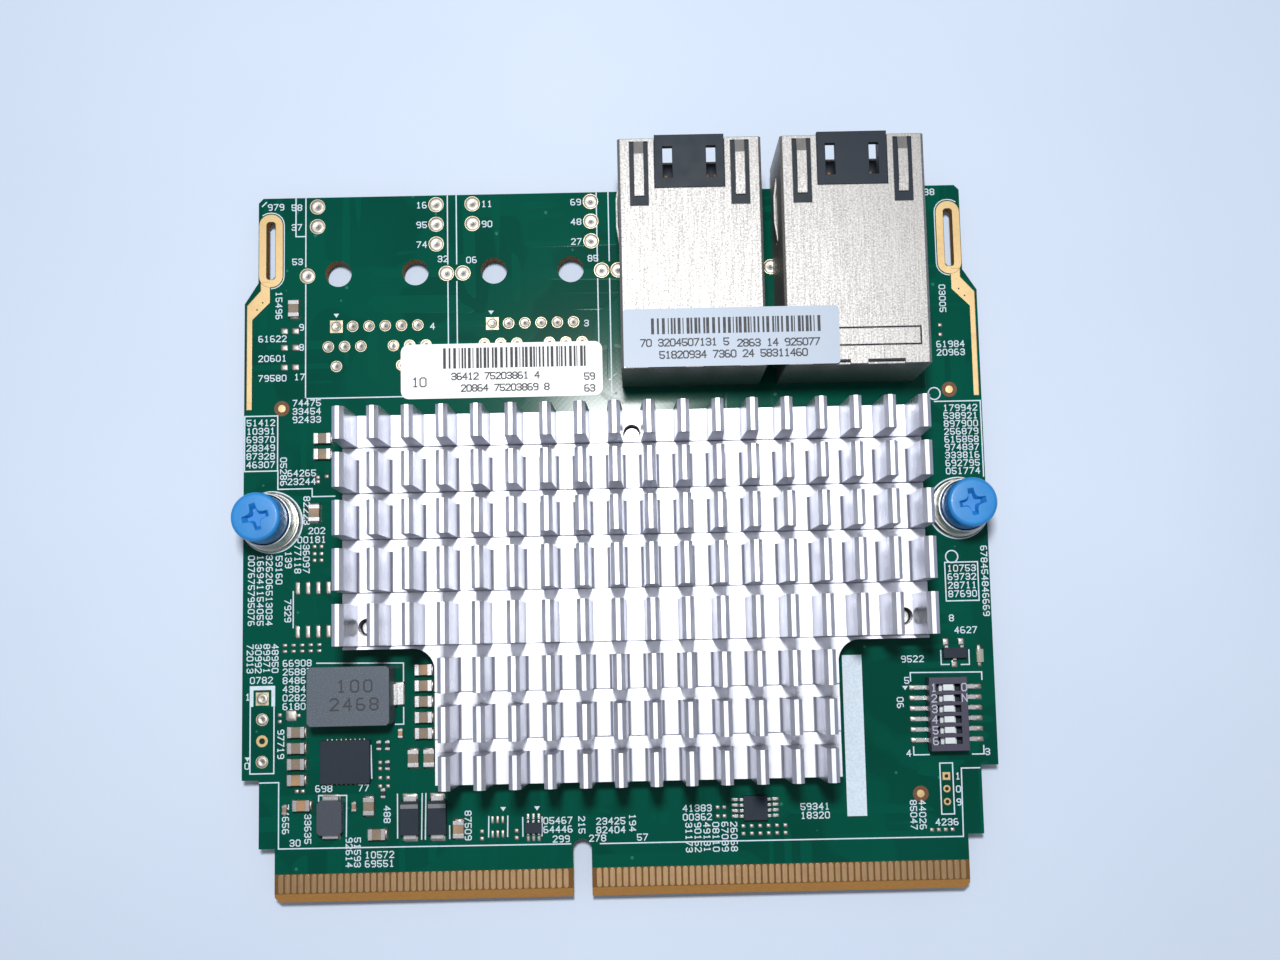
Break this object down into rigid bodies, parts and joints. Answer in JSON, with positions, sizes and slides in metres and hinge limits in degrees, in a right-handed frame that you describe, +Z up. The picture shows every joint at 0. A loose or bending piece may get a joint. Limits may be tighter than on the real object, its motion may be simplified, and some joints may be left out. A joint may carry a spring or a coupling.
{
  "type": "mezzanine network card",
  "caption": "Flat circuit card with an edge connector, a cross-cut finned heatsink, shielded network jacks, a slide switch and captive thumbscrews; adds wired network ports to a server.",
  "frame": {"origin": "middle of the card edge, on the underside of the board", "axes": "+X across the card, +Y from the card edge to the jacks, +Z up from the board"},
  "size_m": [0.0924, 0.0899, 0.0166],
  "materials": {
    "solder_mask": "satin",
    "contact_gold": "satin",
    "aluminium": "satin",
    "chip_black": "matt",
    "pad_grey": "matt",
    "screw_steel": "satin",
    "nickel_sheet": "satin",
    "black_plastic": "matt",
    "solder_tin": "bright",
    "lamp_lens": "translucent",
    "nickel_turned": "bright",
    "knob_blue": "gloss",
    "switch_plum": "matt",
    "slider_white": "gloss",
    "ferrite_grey": "matt",
    "ceramic_tan": "satin",
    "label_white": "satin"
  },
  "bodies": {
    "card": {"board": "solder_mask", "edge_contacts": "contact_gold", "heatsink": "aluminium", "thermal_pad": "pad_grey", "controller_chip": "chip_black", "heatsink_screws": "screw_steel", "ferrules": "nickel_turned", "jack_1_shell": "nickel_sheet", "jack_1_housing": "black_plastic", "jack_1_contacts": "contact_gold", "jack_1_magnetics": "black_plastic", "jack_1_lamps": "lamp_lens", "jack_2_shell": "nickel_sheet", "jack_2_housing": "black_plastic", "jack_2_contacts": "contact_gold", "jack_2_magnetics": "black_plastic", "jack_2_lamps": "lamp_lens", "switch_cover": "switch_plum", "switch_base": "black_plastic", "switch_leads": "solder_tin", "power_inductor": "ferrite_grey", "power_inductor_straps": "solder_tin", "regulator_chip": "chip_black", "small_choke": "ferrite_grey", "small_choke_ends": "solder_tin", "diodes": "chip_black", "diode_leads": "solder_tin", "capacitors": "ceramic_tan", "resistors": "chip_black", "transistors": "chip_black", "memory_chip": "chip_black", "status_lamp": "lamp_lens", "board_label": "label_white", "jack_label": "label_white"},
    "left_plunger": {"left_spring": "screw_steel"},
    "left_thumbscrew": {"left_knob": "knob_blue", "left_screw": "screw_steel"},
    "right_plunger": {"right_spring": "screw_steel"},
    "right_thumbscrew": {"right_knob": "knob_blue", "right_screw": "screw_steel"},
    "slider_1": {"switch_slider_1": "slider_white"},
    "slider_2": {"switch_slider_2": "slider_white"},
    "slider_3": {"switch_slider_3": "slider_white"},
    "slider_4": {"switch_slider_4": "slider_white"},
    "slider_5": {"switch_slider_5": "slider_white"},
    "slider_6": {"switch_slider_6": "slider_white"}
  },
  "joints": [
    {"name": "left_knob_press", "type": "slide", "parent": "card", "child": "left_plunger", "axis": [0, 0, 1], "range_m": [-0.002, 0], "stiffness_N_per_m": 250, "springref_m": 0.001, "deforming": ["left_spring"]},
    {"name": "left_knob_turn", "type": "hinge", "parent": "left_plunger", "child": "left_thumbscrew", "pos_m": [-0.0425, 0.046, 0], "axis": [0, 0, 1], "continuous": true},
    {"name": "right_knob_press", "type": "slide", "parent": "card", "child": "right_plunger", "axis": [0, 0, 1], "range_m": [-0.002, 0], "stiffness_N_per_m": 250, "springref_m": 0.001, "deforming": ["right_spring"]},
    {"name": "right_knob_turn", "type": "hinge", "parent": "right_plunger", "child": "right_thumbscrew", "pos_m": [0.0425, 0.046, 0], "axis": [0, 0, 1], "continuous": true},
    {"name": "slider_1_slide", "type": "slide", "parent": "card", "child": "slider_1", "axis": [1, 0, 0], "range_m": [-0.0008, 0.0008]},
    {"name": "slider_2_slide", "type": "slide", "parent": "card", "child": "slider_2", "axis": [1, 0, 0], "range_m": [-0.0008, 0.0008]},
    {"name": "slider_3_slide", "type": "slide", "parent": "card", "child": "slider_3", "axis": [1, 0, 0], "range_m": [-0.0008, 0.0008]},
    {"name": "slider_4_slide", "type": "slide", "parent": "card", "child": "slider_4", "axis": [1, 0, 0], "range_m": [-0.0008, 0.0008]},
    {"name": "slider_5_slide", "type": "slide", "parent": "card", "child": "slider_5", "axis": [1, 0, 0], "range_m": [-0.0008, 0.0008]},
    {"name": "slider_6_slide", "type": "slide", "parent": "card", "child": "slider_6", "axis": [1, 0, 0], "range_m": [-0.0008, 0.0008]}
  ]
}
